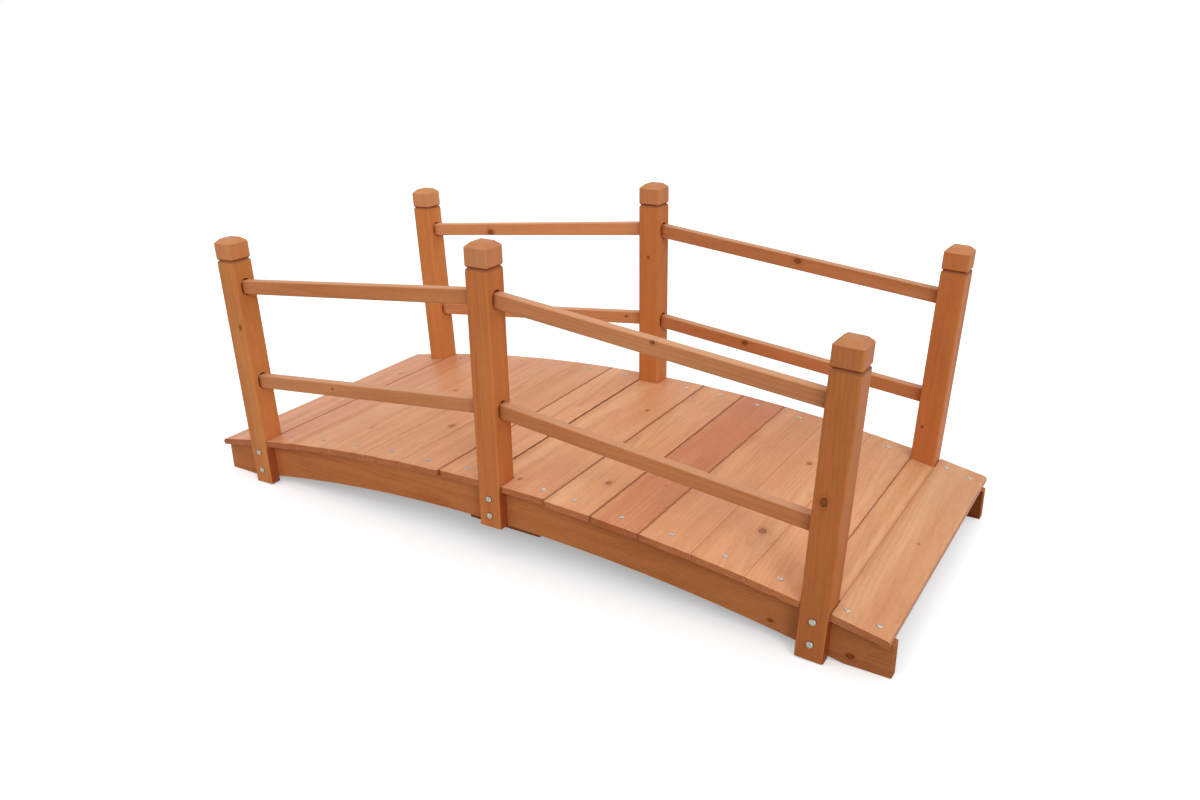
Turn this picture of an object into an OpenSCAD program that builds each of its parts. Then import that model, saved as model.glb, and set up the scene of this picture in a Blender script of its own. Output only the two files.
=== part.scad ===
// Arched garden bridge of stained softwood: two curved stringers, a plank deck,
// six capped posts and two straight rails in each bay on both sides.
// X runs along the bridge, Y across it and Z up. The origin is on the ground under mid-span.
// The near side is at -Y and the left end at -X.

/* [Deck] */
// Length of the deck boards, across the bridge
deck_w = 600; // [480:5:800]
// Distance from one regular deck board to the next, along the arch
board_pitch = 90; // [70:1:120]
// Open joint between two deck boards
board_gap = 1.5; // [1:0.5:6]
// Thickness of the deck boards
deck_t = 12; // [9:1:22]
// Deck past the end posts, along the arch
end_lap = 90; // [70:1:120]

/* [Arch] */
// Radius of the deck's top
arch_r = 3350; // [2600:50:5000]
// Depth of a stringer, from its upper to its lower edge
stringer_h = 70; // [60:1:85]
// Thickness of a stringer
stringer_t = 18; // [15:1:22]
// Stringer end past the deck's end
stringer_proud = 2; // [0:0.5:10]
// Open joint between the two halves of a stringer
stringer_joint = 0.5; // [0.2:0.1:2]
// Length of the plate that ties the two halves of a stringer
splice_l = 150; // [110:5:200]
// Upper edge of the splice plate below the stringer's
splice_inset = 6; // [3:0.5:16]
// Thickness of the splice plate
splice_t = 18; // [12:1:24]
// Lower edge of the splice plate below the stringer's
splice_drop = 18; // [0:0.5:20]

/* [Posts] */
// Side of a post's square section
post_w = 45; // [38:1:60]
// Top of the deck to the top of an end post
post_h = 407; // [320:1:520]
// End post below the top of the deck
post_tail = 90; // [80:1:98]
// Thickness of the half-lapped tail that is bolted to the stringer
lap_t = 20; // [14:1:24]
// Outer face of a post past the ends of the boards
post_proud = 1; // [0:0.5:6]
// How much higher the middle posts stand on the arch than the end posts
middle_rise = 8.5; // [0:0.5:12]
// Outward lean of the end posts, in degrees
post_lean = 2.6; // [0:0.1:6]
// End posts' lowest edge above the ground
post_lift = 0.8; // [0.2:0.1:4]
// Height of the bevelled top of a post
cap_bevel_h = 9; // [4:0.5:16]
// How far the bevel goes in at the top
cap_bevel_in = 10; // [4:0.5:14]
// Height of the plain cap block between bevel and groove
cap_h = 29; // [15:1:45]
// Height of the V groove under the cap
groove_h = 7; // [4:0.5:16]
// Depth of the V groove
groove_in = 4; // [2:0.5:8]

/* [Rails] */
// Height of a rail's section
rail_h = 26; // [20:1:40]
// Thickness of a rail
rail_t = 18; // [14:1:24]
// Rounding of a rail's long edges
rail_round = 2.5; // [0.5:0.5:4]
// Middle of the upper rails above the deck, at the posts
upper_rail_z = 314; // [250:1:330]
// Middle of the lower rails above the deck, at the posts
lower_rail_z = 125; // [80:1:180]
// Depth of a mortise in a post, along the rail
mortise_d = 16; // [12:1:18]

/* [Fits] */
// Room between a deck board and a post
notch_gap = 1; // [0.5:0.1:3]
// Room under a board or a post's shoulder, and at the ends of the infill strip
seat_gap = 0.3; // [0.1:0.1:0.6]
// Room beside a rail in its mortise
mortise_side = 3; // [1:0.5:5]
// Room at a rail's rounded edges in its mortise
edge_gap = 0.4; // [0.2:0.1:0.8]
// Room between a rail's end and the floor of its mortise
rail_gap = 0.3; // [0.1:0.1:0.6]

/* [Hidden] */
$fn = 48;
arch_fn = 720;

// Regular boards that fill one bay between two posts
bay_boards = 6;

// Sides and stations: -1 is near or left, 0 the middle, 1 far or right
NEAR = -1;
FAR = 1;
LEFT = -1;
MIDDLE = 0;
RIGHT = 1;

// Stations along the top of the deck, measured along the arch from mid-span
post_s = post_w + bay_boards * board_pitch;
post_in_s = post_s - post_w / 2;
post_out_s = post_s + post_w / 2;
deck_end_s = post_out_s + end_lap;

// Angle of the arch at a station
function arch_a(s) = s / arch_r * 180 / PI;

// A post crosses the arch halfway through the deck's thickness
cross_r = arch_r - deck_t / 2;
post_x = cross_r * sin(arch_a(post_s));
lean_rise = post_w / 2 * sin(post_lean);
tail_l = post_tail - deck_t / 2;

// The end posts clear the ground by post_lift, and that sets the height of the deck's crest
crest_z = arch_r - cross_r * cos(arch_a(post_s)) + tail_l * cos(post_lean) + lean_rise + post_lift;
arch_z = crest_z - arch_r;
end_cross_z = arch_z + cross_r * cos(arch_a(post_s));
mid_cross_z = arch_z + cross_r + middle_rise;

// Stringer radii and its faces across the bridge
stringer_top_r = arch_r - deck_t - seat_gap;
stringer_low_r = stringer_top_r - stringer_h;
post_face_y = deck_w / 2 + post_proud;
post_in_y = post_face_y - post_w;
rail_y = post_face_y - post_w / 2;
stringer_y = post_face_y - lap_t;
stringer_end_x = arch_r * sin(arch_a(deck_end_s)) + stringer_proud;

// Room for a leaning post between boards that stand square to the arch
function post_gap(k) = notch_gap + deck_t / 2 * tan(abs(k) * (arch_a(post_s) - post_lean));

// Where a rail's axis leaves the middle post and enters the right post, as X and Z
function rail_start(z) = [post_w / 2, mid_cross_z + z + deck_t / 2];
function rail_end(z) =
    let (h = z + deck_t / 2)
    [
        post_x + h * sin(post_lean) - post_w / 2 * cos(post_lean),
        end_cross_z + h * cos(post_lean) + post_w / 2 * sin(post_lean)
    ];

// Mortise with round ends that the rail's rounded edges just clear
mortise_r = rail_t / 2 + mortise_side;
edge_y = rail_t / 2 - rail_round;
edge_z = rail_h / 2 - rail_round;
edge_reach = mortise_r - rail_round - edge_gap;
mortise_straight = max(0, edge_z - sqrt(edge_reach * edge_reach - edge_y * edge_y));

// Places children in the frame of a post: its foot axis up, X towards the right end
module at_post(k) {
    translate([k * post_x, 0, k == MIDDLE ? mid_cross_z : end_cross_z])
        rotate([0, k * post_lean, 0])
            children();
}

// Places children on the top of the deck, square to the arch
module at_arch(s) {
    translate([0, 0, arch_z])
        rotate([0, arch_a(s), 0])
            translate([0, 0, arch_r])
                children();
}

// Solid drum under the arch, between two planes across the bridge
module arch_drum(r, y0, y1) {
    translate([0, y1, arch_z])
        rotate([90, 0, 0])
            cylinder(r = r, h = y1 - y0, $fn = arch_fn);
}

// Outline of a post seen square to one face, from the tail to the bevelled top
module post_outline() {
    top = post_h + deck_t / 2;
    bevel_z = top - cap_bevel_h;
    groove_top = bevel_z - cap_h;
    groove_low = groove_top - groove_h;
    half = post_w / 2;
    right = [
        [half, -tail_l],
        [half, groove_low],
        [half - groove_in, (groove_low + groove_top) / 2],
        [half, groove_top],
        [half, bevel_z],
        [half - cap_bevel_in, top]
    ];
    left = [for (i = [len(right) - 1 : -1 : 0]) [-right[i][0], right[i][1]]];
    polygon(concat(right, left));
}

// Section of a rail, seen along it
module rail_section() {
    for (a = [-1, 1], b = [-1, 1])
        translate([a * edge_z, b * edge_y])
            circle(r = rail_round);
    square([2 * edge_z, rail_t], center = true);
    square([rail_h, 2 * edge_y], center = true);
}

// Section of a mortise, seen along the rail
module mortise_section() {
    for (e = [-1, 1])
        translate([e * mortise_straight, 0])
            circle(r = mortise_r);
    square([2 * mortise_straight, 2 * mortise_r], center = true);
}

// Sweeps a section along a rail's axis, from one post's inside to the other's
module along_rail(k, side, z, depth) {
    start = rail_start(z);
    run = rail_end(z) - start;
    slope = atan2(-run[1], run[0]);
    mirror([k == LEFT ? 1 : 0, 0, 0])
        translate([start[0], side * rail_y, start[1]])
            rotate([0, slope + 90, 0])
                translate([0, 0, -depth])
                    linear_extrude(height = norm(run) + 2 * depth)
                        children();
}

// Post with groove and bevel on four sides, mortises towards its rails and a half-lapped tail
module post(k, side) {
    bays = k == MIDDLE ? [LEFT, RIGHT] : [k];
    color("peru")
        difference() {
            at_post(k)
                translate([0, side * rail_y, 0])
                    intersection() {
                        rotate([90, 0, 0])
                            linear_extrude(height = post_w, center = true) post_outline();
                        rotate([90, 0, 90])
                            linear_extrude(height = post_w, center = true) post_outline();
                    }
            for (bay = bays, z = [upper_rail_z, lower_rail_z])
                along_rail(bay, side, z, mortise_d) mortise_section();
            arch_drum(
                arch_r - deck_t,
                side == NEAR ? -stringer_y : 0,
                side == NEAR ? 0 : stringer_y
            );
        }
}

// Straight rail from the middle post down to an end post, tenoned into both
module rail(k, side, z) {
    color("sandybrown")
        along_rail(k, side, z, mortise_d - rail_gap) rail_section();
}

// Half of a curved stringer, with a plumb end and a level foot on the ground
module stringer(k, side) {
    y0 = side == NEAR ? -stringer_y : stringer_y - stringer_t;
    color("sienna")
        mirror([k == LEFT ? 1 : 0, 0, 0])
            intersection() {
                difference() {
                    arch_drum(stringer_top_r, y0, y0 + stringer_t);
                    arch_drum(stringer_low_r, y0 - stringer_t, y0 + 2 * stringer_t);
                }
                translate([stringer_joint / 2, y0, 0])
                    cube([stringer_end_x - stringer_joint / 2, stringer_t, crest_z]);
            }
}

// Plate on a stringer's inner face that ties its two halves
module splice_plate(side) {
    inner_y = stringer_y - stringer_t;
    low_z = arch_z + stringer_low_r - splice_drop;
    splice_h = stringer_h + splice_drop - splice_inset;
    color("saddlebrown")
        translate([-splice_l / 2, side == NEAR ? -inner_y : inner_y - splice_t, low_z])
            cube([splice_l, splice_t, splice_h]);
}

// Flat board square to the arch between two stations, with its own room at each edge
module board(s0, s1, room0, room1, length) {
    mid = (s0 + s1) / 2;
    at_arch(mid)
        translate([s0 + room0 - mid, -length / 2, -deck_t])
            cube([s1 - room1 - s0 - room0, length, deck_t]);
}

// The room that a pair of posts takes out of a board
module post_room(k) {
    side = post_w + 2 * notch_gap;
    height = 2 * deck_t + post_tail;
    for (e = [NEAR, FAR])
        at_post(k)
            translate([0, e * rail_y, 0])
                cube([side, side, height], center = true);
}

// Wide board at the left end, notched for the left posts
module left_end_board() {
    color("burlywood")
        difference() {
            board(-deck_end_s, -post_in_s, 0, board_gap / 2, deck_w);
            post_room(LEFT);
        }
}

// Wide board on the crown, notched for the middle posts
module crown_board() {
    color("burlywood")
        difference() {
            board(-post_w / 2, post_w / 2 + board_pitch, board_gap / 2, board_gap / 2, deck_w);
            post_room(MIDDLE);
        }
}

// Regular board of the left bay, counted from the left posts
module left_bay_board(i) {
    s0 = -post_in_s + (i - 1) * board_pitch;
    color("burlywood")
        board(
            s0, s0 + board_pitch,
            i == 1 ? post_gap(LEFT) : board_gap / 2,
            i == bay_boards ? post_gap(MIDDLE) : board_gap / 2,
            deck_w
        );
}

// Regular board of the right bay, counted from the crown board
module right_bay_board(i) {
    s0 = post_w / 2 + i * board_pitch;
    color("burlywood")
        board(
            s0, s0 + board_pitch,
            board_gap / 2,
            i == bay_boards - 1 ? post_gap(RIGHT) : board_gap / 2,
            deck_w
        );
}

// Short strip held between the right posts
module infill_board() {
    color("burlywood")
        board(post_in_s, post_out_s, board_gap / 2, board_gap / 2, 2 * (post_in_y - seat_gap));
}

// Board at the right end, past the right posts
module right_end_board() {
    color("burlywood")
        board(post_out_s, deck_end_s, post_gap(RIGHT), 0, deck_w);
}

post(LEFT, NEAR);  // near_left_post
post(MIDDLE, NEAR);  // near_middle_post
post(RIGHT, NEAR);  // near_right_post
post(LEFT, FAR);  // far_left_post
post(MIDDLE, FAR);  // far_middle_post
post(RIGHT, FAR);  // far_right_post
rail(LEFT, NEAR, upper_rail_z);  // near_left_upper_rail
rail(LEFT, NEAR, lower_rail_z);  // near_left_lower_rail
rail(RIGHT, NEAR, upper_rail_z);  // near_right_upper_rail
rail(RIGHT, NEAR, lower_rail_z);  // near_right_lower_rail
rail(LEFT, FAR, upper_rail_z);  // far_left_upper_rail
rail(LEFT, FAR, lower_rail_z);  // far_left_lower_rail
rail(RIGHT, FAR, upper_rail_z);  // far_right_upper_rail
rail(RIGHT, FAR, lower_rail_z);  // far_right_lower_rail
stringer(LEFT, NEAR);  // near_left_stringer
stringer(RIGHT, NEAR);  // near_right_stringer
stringer(LEFT, FAR);  // far_left_stringer
stringer(RIGHT, FAR);  // far_right_stringer
splice_plate(NEAR);  // near_splice_plate
splice_plate(FAR);  // far_splice_plate
left_end_board();
left_bay_board(1);  // deck_board_1
left_bay_board(2);  // deck_board_2
left_bay_board(3);  // deck_board_3
left_bay_board(4);  // deck_board_4
left_bay_board(5);  // deck_board_5
left_bay_board(6);  // deck_board_6
crown_board();
right_bay_board(1);  // deck_board_7
right_bay_board(2);  // deck_board_8
right_bay_board(3);  // deck_board_9
right_bay_board(4);  // deck_board_10
right_bay_board(5);  // deck_board_11
infill_board();
right_end_board();
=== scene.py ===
"""Looks of the arched garden bridge: stained softwood, carriage bolts and deck screws."""

import math
import random
from typing import NamedTuple

import bmesh
import bpy
from mathutils import Matrix, Vector, noise


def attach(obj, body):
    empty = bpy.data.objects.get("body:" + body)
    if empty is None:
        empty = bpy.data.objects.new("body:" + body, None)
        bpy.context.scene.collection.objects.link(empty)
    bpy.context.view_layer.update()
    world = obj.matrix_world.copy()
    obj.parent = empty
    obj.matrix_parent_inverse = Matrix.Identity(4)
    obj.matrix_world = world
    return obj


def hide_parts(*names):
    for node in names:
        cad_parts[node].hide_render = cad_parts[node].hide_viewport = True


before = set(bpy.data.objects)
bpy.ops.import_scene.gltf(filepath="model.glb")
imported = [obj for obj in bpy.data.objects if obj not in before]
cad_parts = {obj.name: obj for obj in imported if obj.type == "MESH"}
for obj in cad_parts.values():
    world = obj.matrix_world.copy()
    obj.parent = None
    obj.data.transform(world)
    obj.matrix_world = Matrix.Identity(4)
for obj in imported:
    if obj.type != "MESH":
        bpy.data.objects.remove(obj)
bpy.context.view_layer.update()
scene = bpy.context.scene
scene.view_settings.view_transform = "Standard"

# Sizes of the CAD part that pieces are placed by, in metres
MM = 0.001
ARCH_R = 3350 * MM
DECK_T = 12 * MM
DECK_W = 600 * MM
BOARD_PITCH = 90 * MM
END_LAP = 90 * MM
BAY_BOARDS = 6
POST_W = 45 * MM
POST_H = 407 * MM
POST_TAIL = 90 * MM
POST_LIFT = 0.8 * MM
POST_LEAN = math.radians(2.6)
MIDDLE_RISE = 8.5 * MM
CAP_BEVEL_H = 9 * MM
CAP_H = 29 * MM
GROOVE_H = 7 * MM
LAP_T = 20 * MM
STRINGER_T = 18 * MM
SPLICE_T = 18 * MM
POST_FACE_Y = DECK_W / 2 + 1 * MM
RAIL_Y = POST_FACE_Y - POST_W / 2
STRINGER_Y = POST_FACE_Y - LAP_T
RAIL_T = 18 * MM
UPPER_RAIL_Z = 314 * MM
LOWER_RAIL_Z = 125 * MM

POST_S = POST_W + BAY_BOARDS * BOARD_PITCH
POST_IN_S = POST_S - POST_W / 2
POST_OUT_S = POST_S + POST_W / 2
DECK_END_S = POST_OUT_S + END_LAP
CROSS_R = ARCH_R - DECK_T / 2
POST_X = CROSS_R * math.sin(POST_S / ARCH_R)
POST_TOP = POST_H + DECK_T / 2
CREST_Z = (
    ARCH_R
    - CROSS_R * math.cos(POST_S / ARCH_R)
    + (POST_TAIL - DECK_T / 2) * math.cos(POST_LEAN)
    + POST_W / 2 * math.sin(POST_LEAN)
    + POST_LIFT
)
ARCH_Z = CREST_Z - ARCH_R
END_CROSS_Z = ARCH_Z + CROSS_R * math.cos(POST_S / ARCH_R)
MID_CROSS_Z = ARCH_Z + CROSS_R + MIDDLE_RISE

SIDES = {"near": -1, "far": 1}
STATIONS = {"left": -1, "middle": 0, "right": 1}
BAYS = {"left": -1, "right": 1}

rng = random.Random(20)


def post_frame(k):
    """Frame of a post: its axis is Z and the deck crosses at the origin."""
    z = END_CROSS_Z if k else MID_CROSS_Z
    return Matrix.Translation((k * POST_X, 0, z)) @ Matrix.Rotation(k * POST_LEAN, 4, "Y")


def arch_frame(s):
    """Frame on the top of the deck, square to the arch, at a station along it."""
    turn = Matrix.Rotation(s / ARCH_R, 4, "Y")
    return Matrix.Translation((0, 0, ARCH_Z)) @ turn @ Matrix.Translation((0, 0, ARCH_R))


# Colour sockets of a mix node
MIX_A, MIX_B, MIX_RESULT = 6, 7, 2


class Graph:
    """Nodes of a material or a world, made by short calls."""

    def __init__(self, owner):
        owner.use_nodes = True
        self.tree = owner.node_tree
        self.tree.nodes.clear()

    def node(self, kind, **values):
        made = self.tree.nodes.new(kind)
        for name, value in values.items():
            setattr(made, name, value)
        return made

    def put(self, socket, value):
        """Links a socket to another, or sets its value."""
        if isinstance(value, bpy.types.NodeSocket):
            self.tree.links.new(value, socket)
        elif value is not None:
            socket.default_value = value

    def feed(self, made, *values):
        """Gives the first sockets of a node their values, in order."""
        for socket, value in zip(made.inputs, values):
            self.put(socket, value)
        return made.outputs[0]

    def give(self, made, **values):
        """Gives the sockets of a node their values by name."""
        for name, value in values.items():
            self.put(made.inputs[name], value)
        return made

    def math(self, operation, a, b=None, c=None, clamp=False):
        return self.feed(self.node("ShaderNodeMath", operation=operation, use_clamp=clamp), a, b, c)

    def times(self, a, b, clamp=False):
        return self.math("MULTIPLY", a, b, clamp=clamp)

    def times_plus(self, a, b, c, clamp=False):
        return self.math("MULTIPLY_ADD", a, b, c, clamp=clamp)

    def minus(self, a, b):
        return self.math("SUBTRACT", a, b)

    def sway(self, base, value, share, middle=0.5, clamp=False):
        """Adds a share of how far a value is from its middle."""
        return self.times_plus(self.minus(value, middle), share, base, clamp)

    def squares(self, a, b, share):
        """Square of a value plus the square of a share of another."""
        part = self.times(b, share)
        return self.times_plus(a, a, self.times(part, part))

    def vector(self, operation, a, b=None):
        made = self.node("ShaderNodeVectorMath", operation=operation)
        self.feed(made, a, b)
        return made.outputs["Value" if operation == "LENGTH" else "Vector"]

    def split(self, vector):
        made = self.node("ShaderNodeSeparateXYZ")
        self.feed(made, vector)
        return made.outputs

    def join(self, x, y, z):
        return self.feed(self.node("ShaderNodeCombineXYZ"), x, y, z)

    def attribute(self, name):
        return self.node("ShaderNodeAttribute", attribute_name=name).outputs["Vector"]

    def noise(self, vector, stretch, detail=2.0, rough=0.5, colour=False):
        made = self.node("ShaderNodeTexNoise")
        place = self.vector("MULTIPLY", vector, stretch)
        self.give(made, Vector=place, Scale=1.0, Detail=detail, Roughness=rough)
        return made.outputs["Color" if colour else "Fac"]

    def steps(self, value, low, high, to_low=0.0, to_high=1.0):
        """Soft step of a value between two marks."""
        made = self.node("ShaderNodeMapRange", interpolation_type="SMOOTHSTEP")
        return self.feed(made, value, low, high, to_low, to_high)

    def ramp(self, value, stops):
        made = self.node("ShaderNodeValToRGB")
        ramp = made.color_ramp
        while len(ramp.elements) < len(stops):
            ramp.elements.new(0.5)
        for element, (place, colour) in zip(ramp.elements, stops):
            element.position = place
            element.color = (*colour, 1.0)
        return self.feed(made, value)

    def mix(self, share, a, b, blend="MIX"):
        made = self.node("ShaderNodeMix", data_type="RGBA", blend_type=blend)
        self.put(made.inputs[0], share)
        for place, value in ((MIX_A, a), (MIX_B, b)):
            self.put(made.inputs[place], (*value, 1.0) if isinstance(value, tuple) else value)
        return made.outputs[MIX_RESULT]

    def multiply_in(self, colour, share, by):
        """Multiplies a colour by another, by a share from 0 to 1."""
        return self.mix(share, colour, self.mix(1.0, colour, by, "MULTIPLY"))

    def bump(self, height, strength, distance):
        made = self.node("ShaderNodeBump")
        return self.give(made, Strength=strength, Distance=distance, Height=height).outputs[0]

    def surface(self, values):
        """Ends a material in one shader, with its sockets' values by name."""
        self.show(self.give(self.node("ShaderNodeBsdfPrincipled"), **values))

    def show(self, shader, kind="Material"):
        self.give(self.node("ShaderNodeOutput" + kind), Surface=shader.outputs[0])


KNOTS = ("knot_a", "knot_b", "knot_c")

# Cycles per metre of each pattern in the wood, along the grain, across it and through the piece
WANDER = (1.7, 11, 11)
UNEVEN = (0.6, 46, 46)
LATE_DEPTH = (1.1, 16, 16)
STREAK = (2.4, 34, 34)
FIBRE = (30, 820, 820)
FLECK = (42, 1100, 1100)
BLOTCH = (5.5, 13, 13)
SAPWOOD = (1.3, 21, 21)
WEAR = (16, 60, 60)
RAGGED = (260, 420, 420)
RIM_NOISE = (55, 150, 150)
MOTTLE = (65, 170, 170)

# Growth rings: how far they wander in metres, how uneven they are in rings, and the height of the late
# wood by the way through a ring: a soft rise and a sharp fall
WANDER_ACROSS, WANDER_DEEP = 0.034, 0.026
UNEVEN_RINGS = 1.3
RING_STOPS = ((0.0, 0.0), (0.3, 0.1), (0.62, 0.42), (0.86, 1.0), (0.95, 0.8), (1.0, 0.0))

# Knots: what a way along the grain counts beside one across it, in the flow round a knot and in its
# oval outline, the flow's core and strength, how ragged the outline is, and the colours of a knot from
# its middle to its bark
FLOW_ALONG, KNOT_OVAL = 0.33, 0.72
FLOW_CORE, FLOW_PUSH = 0.6, 1.6
KNOT_RAGGED = 0.7
KNOT_STOPS = (
    (0.0, (0.2, 0.056, 0.013)),
    (0.4, (0.26, 0.077, 0.018)),
    (0.7, (0.2, 0.05, 0.011)),
    (0.9, (0.12, 0.028, 0.007)),
    (1.0, (0.2, 0.048, 0.012)),
)

# Share of each pattern in the shade between a timber's pale and its dark colour
PLAIN_SHADE, LATE_MEAN = 0.42, 0.3
FIBRE_SHADE, FLECK_SHADE, BLOTCH_SHADE = 0.26, 0.12, 0.6
# Share of flecks in the late wood of end grain
CUT_FLECK = 0.2
# Change of the redness along a piece for each change of its tone by painted light and shade
RED_BY_PAINTED_SHADE = -4.0
# How far the wisps of sapwood move the edge of a pale streak, in its half widths
STREAK_WANDER = -2.0

# Marks between which a noise or a distance turns into a share, and the shares there if not 0 and 1
LATE_MARKS = (0.25, 0.75, 0.25, 1.0)
FLECK_MARKS = (0.66, 0.78)
WISP_MARKS = (0.52, 0.72, 0.0, 0.6)
STREAK_MARKS = (1.3, 0.3)
KNOT_MARKS = (1.1, 0.9)
HALO_MARKS = (2.6, 1.0)
WEAR_MARKS = (0.38, 0.7, 0.04, 0.4)
RIM_REACH_MARKS = (0.3, 0.7)

# Colours that the wood is multiplied by, and how much of each is used where it is at its fullest
RED_DYE = (0.96, 0.72, 0.66)
HALO_DYE, HALO_SHARE = (0.72, 0.56, 0.48), 0.45
# Stain and painted shade in the groove under a post's cap
GROOVE_STAIN_AND_SHADE, GROOVE_SHARE = (0.6, 0.48, 0.42), 0.75
# Painted shade under the deck, with a little stain
UNDER_DECK_SHADE = (0.6, 0.42, 0.4)
# Stain beside the boards' joints, and painted shade beside the end boards' outer edges
RIM_STAIN_AND_SHADE = (0.52, 0.33, 0.19)
# Stain and painted shade at the mouths of the mortises
MOUTH_STAIN_AND_SHADE, MOUTH_SHARE = (0.6, 0.4, 0.34), 0.6
# Painted shade with some stain on rail ends in mortises, mortise walls and stringers' inner sides, at the
# end boards' outer edges and in the boards' joints
JOINT_SHADE_AND_STAIN = (0.42, 0.27, 0.2)
# Colour of wood that is bleached from above and painted paler there as sheen, and how much paler than
# its timber a worn edge is
BLEACHED_AND_SHEEN = (0.86, 0.6, 0.4)
WORN_GAIN = 1.08

# Reach of the painted shade below the deck, of the stain beside a board's joint and of the painted
# shade beside an end board's outer edge, and of the stain and painted shade at a mortise's mouth
UNDER_DECK_SHADE_REACH = 12 * MM
RIM_LEAST, RIM_MOST, RIM_FULL = 2.5 * MM, 7.5 * MM, 0.5 * MM
MOUTH_REACH = 9 * MM
HOUSED_EDGE = 1.5 * MM

# Surface of the wood
WOOD_IOR = 1.46
STREAK_ROUGH, LATE_ROUGH, END_ROUGH, KNOT_ROUGH = 0.24, -0.07, 0.2, -0.12
LATE_RELIEF, FIBRE_RELIEF, FLECK_RELIEF = 0.5, 0.5, -0.4
RELIEF_STRENGTH, RELIEF_DEPTH = 0.28, 0.4 * MM


class Wood(NamedTuple):
    """One stained timber: its palest and darkest colour, its surface and how strongly each pattern shows.

    cut_early, cut_late and sapwood are what end grain and sapwood multiply the colour by.
    """

    pale: tuple
    dark: tuple
    rough: float
    gloss: float
    rings: float = 0.34
    streaks: float = 0.9
    mottle: float = 0.4
    # Strength of the bleaching and painted sheen on top faces
    bleach: float = 0.0
    knots: float = 0.85
    cut_early: tuple = (0.88, 0.82, 0.72)
    cut_late: tuple = (0.73, 0.63, 0.53)
    sapwood: tuple = (1.08, 1.24, 1.3)


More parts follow.
